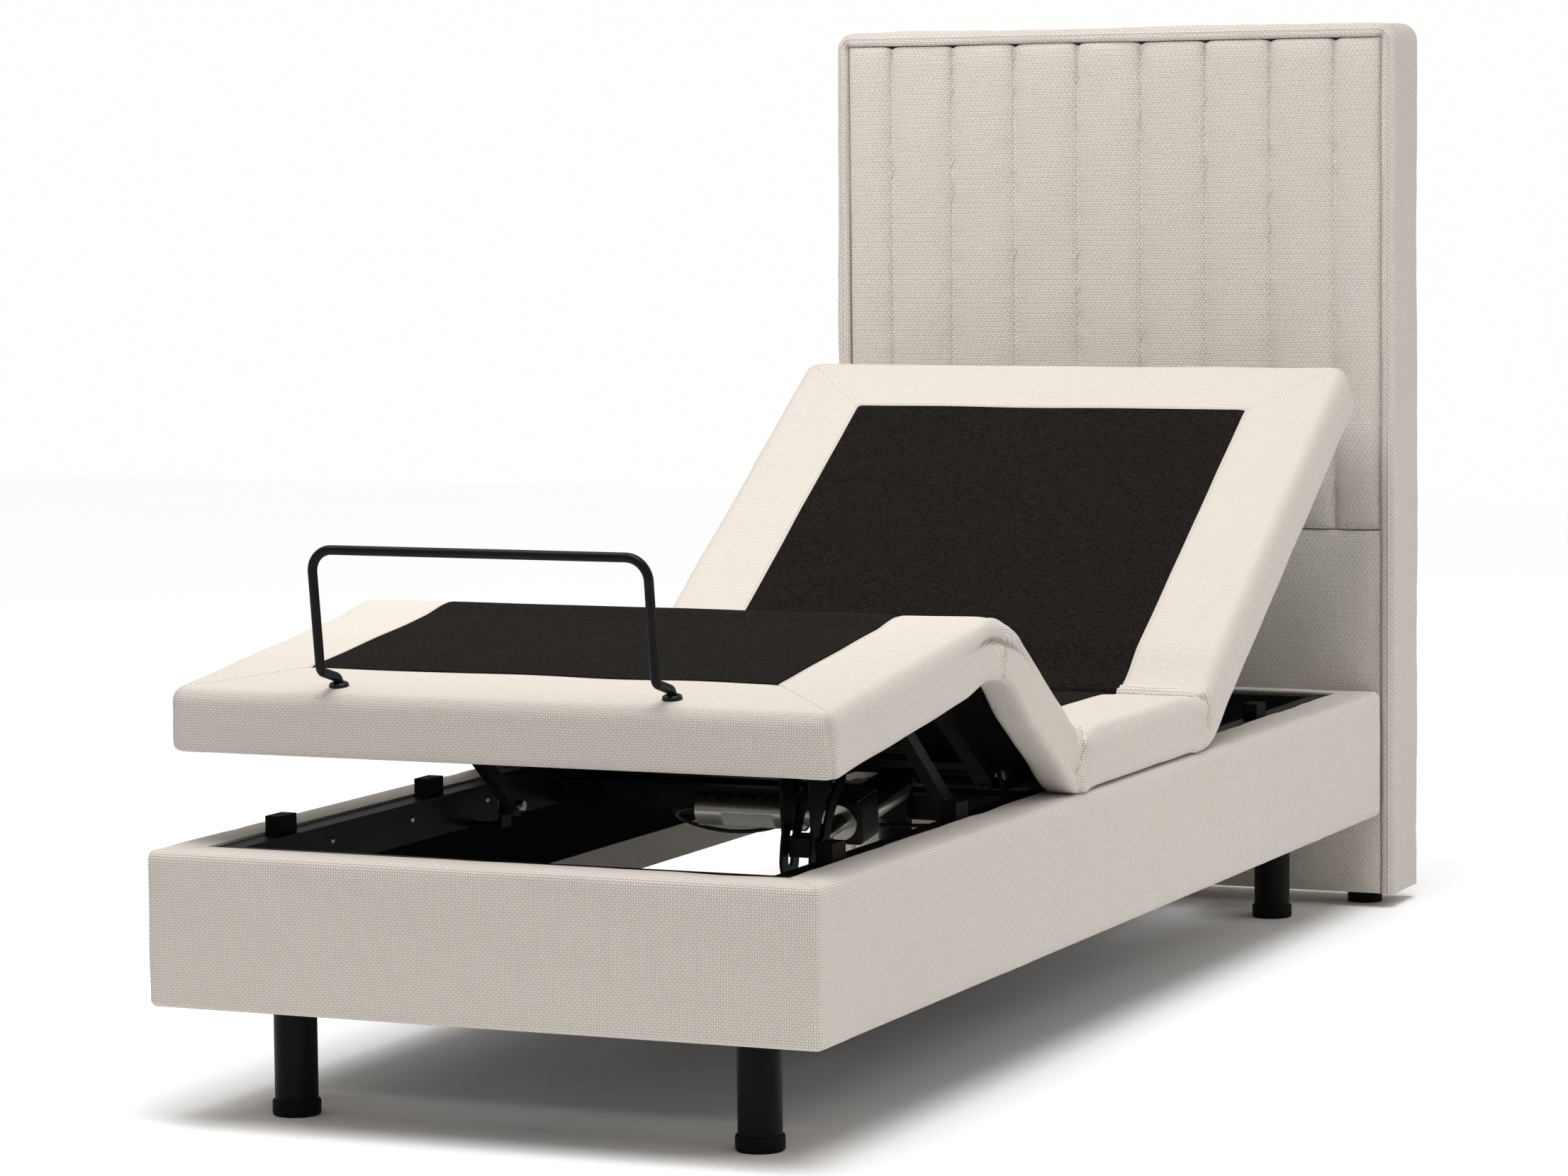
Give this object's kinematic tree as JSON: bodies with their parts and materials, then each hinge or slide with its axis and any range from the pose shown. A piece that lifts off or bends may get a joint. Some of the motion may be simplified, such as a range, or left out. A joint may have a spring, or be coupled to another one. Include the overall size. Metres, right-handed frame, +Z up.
{
  "type": "adjustable bed base",
  "caption": "Upholstered electric bed base: raised head, thigh and calf sections over a box on legs, linear drives, mattress retainer bar and channelled headboard.",
  "frame": {"origin": "on the floor under the middle of the whole bed's box", "axes": "+X to the right seen from the foot, +Y from the foot to the headboard, +Z up"},
  "size_m": [0.864, 2.16, 1.27],
  "materials": {
    "board": "raw",
    "plywood": "black faced",
    "cover_fabric": "woven",
    "felt": "non-woven",
    "black_steel": "satin powder coat",
    "leg_finish": "satin",
    "zinc_steel": "zinc plated",
    "black_plastic": "matte",
    "black_rubber": "matte",
    "drive_alloy": "satin",
    "drive_black": "semi gloss"
  },
  "bodies": {
    "base": {"base_cover": "cover_fabric", "base_hinge_pins": "zinc_steel", "control_box": "black_plastic", "drive_crossbars": "black_steel", "foot_drive_housing": "drive_alloy", "foot_drive_motor": "drive_alloy", "foot_motor_lead": "black_rubber", "foot_rail": "board", "frame_angles": "black_steel", "head_drive_housing": "drive_black", "head_drive_motor": "drive_black", "head_motor_lead": "black_rubber", "head_rail": "board", "headboard_bolts": "zinc_steel", "headboard_border": "cover_fabric", "headboard_channels": "cover_fabric", "headboard_feet": "black_plastic", "headboard_frame": "board", "headboard_lower_panel": "cover_fabric", "headboard_straps": "black_steel", "leg_blocks": "board", "leg_caps": "black_plastic", "leg_foot_left": "leg_finish", "leg_foot_right": "leg_finish", "leg_head_left": "leg_finish", "leg_head_right": "leg_finish", "mains_inlet": "black_plastic", "seat_deck": "plywood", "seat_felt": "felt", "seat_frame": "black_steel", "seat_hinge_plates": "black_steel", "seat_pad": "cover_fabric", "side_rail_left": "board", "side_rail_right": "board", "strut_brackets": "black_steel", "strut_pins": "zinc_steel", "support_blocks": "black_rubber"},
    "thigh_section": {"thigh_deck": "plywood", "thigh_felt": "felt", "thigh_frame": "black_steel", "thigh_hinge_plates": "black_steel", "thigh_lever": "black_steel", "thigh_pad": "cover_fabric", "knee_hinge_pins": "zinc_steel"},
    "calf_section": {"calf_deck": "plywood", "calf_felt": "felt", "calf_frame": "black_steel", "calf_hinge_plates": "black_steel", "calf_pad": "cover_fabric", "retainer_bar": "black_steel", "retainer_bushes": "black_plastic"},
    "head_section": {"head_pad": "cover_fabric", "head_deck": "plywood", "head_frame": "black_steel", "head_felt": "felt", "head_hinge_plates": "black_steel", "head_lever": "black_steel"},
    "lift_struts": {"lift_struts": "black_steel"},
    "foot_drive_rod": {"foot_drive_rod": "zinc_steel"},
    "head_drive_rod": {"head_drive_rod": "zinc_steel"}
  },
  "joints": [
    {"name": "thigh_lift", "type": "hinge", "parent": "base", "child": "thigh_section", "pos_m": [0, -0.28, 0.338], "axis": [-1, 0, 0], "range_deg": [-33, 5]},
    {"name": "calf_fold", "type": "hinge", "parent": "thigh_section", "child": "calf_section", "pos_m": [0, -0.5316, 0.50139], "axis": [1, 0, 0], "range_deg": [-40.11, 6.09]},
    {"name": "strut_swing", "type": "hinge", "parent": "base", "child": "lift_struts", "pos_m": [0, -0.39, 0.285], "axis": [-1, 0, 0], "range_deg": [-35.57, 5.4]},
    {"name": "foot_rod_slide", "type": "slide", "parent": "base", "child": "foot_drive_rod", "axis": [0, -0.9903, -0.1392], "range_m": [-0.0727, 0.0111]},
    {"name": "head_lift", "type": "hinge", "parent": "base", "child": "head_section", "pos_m": [0, 0.2, 0.338], "axis": [1, 0, 0], "range_deg": [-32.9, 25]},
    {"name": "head_rod_slide", "type": "slide", "parent": "base", "child": "head_drive_rod", "axis": [0, 1, 0], "range_m": [-0.03958, 0.0301]}
  ],
  "couplings": [
    {"joint": "calf_fold", "follows": "thigh_lift", "ratio": 1.2152},
    {"joint": "strut_swing", "follows": "thigh_lift", "ratio": 1.0776},
    {"joint": "foot_rod_slide", "follows": "thigh_lift", "m_per_rad": 0.12605},
    {"joint": "head_rod_slide", "follows": "head_lift", "m_per_rad": 0.068755}
  ]
}
